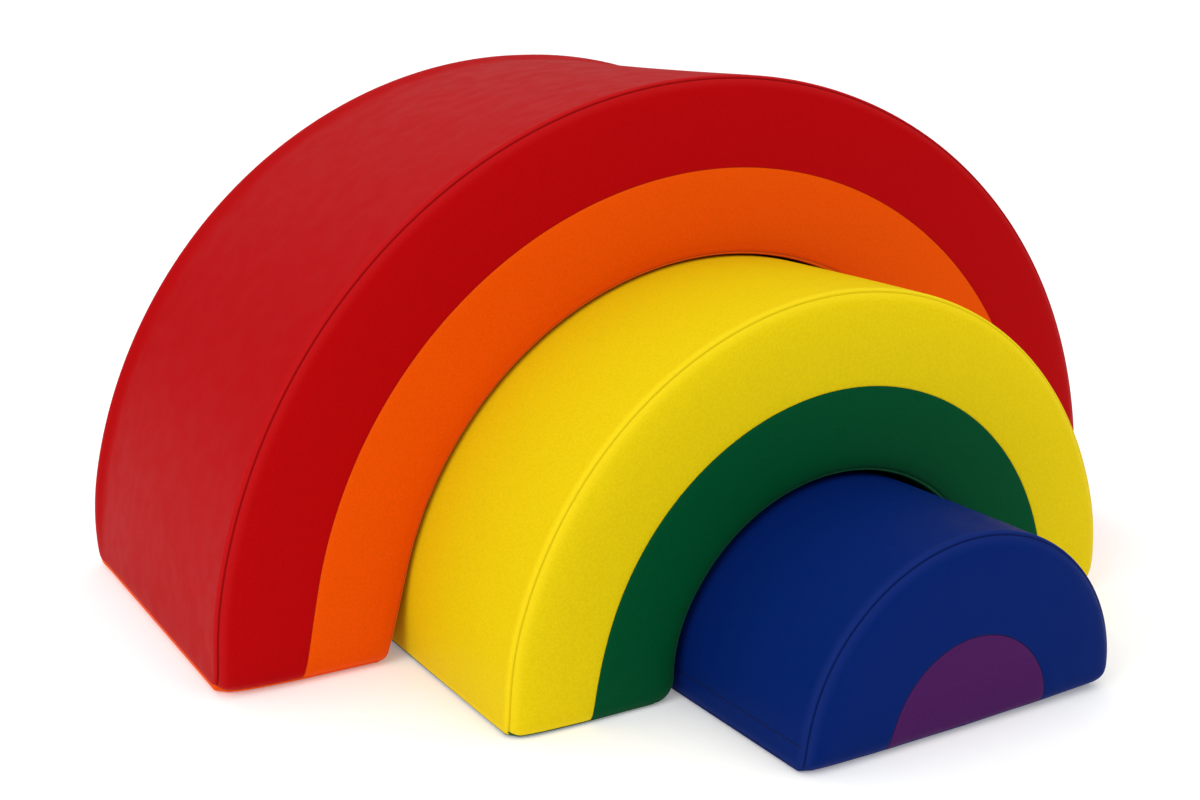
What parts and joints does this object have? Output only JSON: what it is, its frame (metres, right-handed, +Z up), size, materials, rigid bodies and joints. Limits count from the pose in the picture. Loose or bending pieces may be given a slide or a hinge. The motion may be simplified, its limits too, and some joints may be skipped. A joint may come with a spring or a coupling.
{
  "type": "nesting soft-play rainbow block set",
  "caption": "Nesting soft-play rainbow: padded vinyl-covered foam arches and a half-round block that slide into one another for climbing, crawling and building.",
  "frame": {"origin": "floor level, under the middle of the whole set as it stands in the picture", "axes": "+X along the width of the arches, +Y from the small block at the front to the large arch at the rear, +Z up"},
  "size_m": [1.2, 0.903, 0.6],
  "materials": {
    "vinyl_red": "satin",
    "vinyl_orange": "satin",
    "vinyl_yellow": "satin",
    "vinyl_green": "satin",
    "vinyl_blue": "satin",
    "vinyl_purple": "satin",
    "foam": "matte",
    "zip_cloth": "matte",
    "zip_metal": "satin"
  },
  "bodies": {
    "large_block": {"large_foam_core": "foam", "large_outer_band": "vinyl_red", "large_tunnel_lining": "vinyl_orange", "large_base_left": "vinyl_orange", "large_base_right": "vinyl_orange", "large_front_outer_panel": "vinyl_red", "large_front_inner_panel": "vinyl_orange", "large_rear_outer_panel": "vinyl_red", "large_rear_inner_panel": "vinyl_orange", "large_zip_tape_left": "zip_cloth", "large_zip_tape_right": "zip_cloth", "large_zip_coil_left": "zip_cloth", "large_zip_coil_right": "zip_cloth", "large_zip_front_stop": "zip_metal", "large_zip_rear_stop": "zip_metal"},
    "large_zip_runner": {"large_zip_slider": "zip_metal", "large_zip_pull": "zip_metal"},
    "medium_block": {"medium_foam_core": "foam", "medium_outer_band": "vinyl_yellow", "medium_tunnel_lining": "vinyl_green", "medium_base_left": "vinyl_green", "medium_base_right": "vinyl_green", "medium_front_outer_panel": "vinyl_yellow", "medium_front_inner_panel": "vinyl_green", "medium_rear_outer_panel": "vinyl_yellow", "medium_rear_inner_panel": "vinyl_green", "medium_zip_tape_left": "zip_cloth", "medium_zip_tape_right": "zip_cloth", "medium_zip_coil_left": "zip_cloth", "medium_zip_coil_right": "zip_cloth", "medium_zip_front_stop": "zip_metal", "medium_zip_rear_stop": "zip_metal"},
    "medium_zip_runner": {"medium_zip_slider": "zip_metal", "medium_zip_pull": "zip_metal"},
    "small_block": {"small_foam_core": "foam", "small_outer_band": "vinyl_blue", "small_base": "vinyl_blue", "small_front_outer_panel": "vinyl_blue", "small_front_inner_panel": "vinyl_purple", "small_rear_outer_panel": "vinyl_blue", "small_rear_inner_panel": "vinyl_purple", "small_zip_tape_left": "zip_cloth", "small_zip_tape_right": "zip_cloth", "small_zip_coil_left": "zip_cloth", "small_zip_coil_right": "zip_cloth", "small_zip_front_stop": "zip_metal", "small_zip_rear_stop": "zip_metal"},
    "small_zip_runner": {"small_zip_slider": "zip_metal", "small_zip_pull": "zip_metal"}
  },
  "joints": [
    {"name": "medium_slide", "type": "slide", "parent": "large_block", "child": "medium_block", "axis": [0, -1, 0], "range_m": [-0.225, 0.295]},
    {"name": "small_slide", "type": "slide", "parent": "medium_block", "child": "small_block", "axis": [0, -1, 0], "range_m": [-0.198, 0.322]},
    {"name": "large_zip_slide", "type": "slide", "parent": "large_block", "child": "large_zip_runner", "axis": [0, -1, 0], "range_m": [0, 0.295]},
    {"name": "medium_zip_slide", "type": "slide", "parent": "medium_block", "child": "medium_zip_runner", "axis": [0, -1, 0], "range_m": [0, 0.295]},
    {"name": "small_zip_slide", "type": "slide", "parent": "small_block", "child": "small_zip_runner", "axis": [0, -1, 0], "range_m": [0, 0.295]}
  ]
}
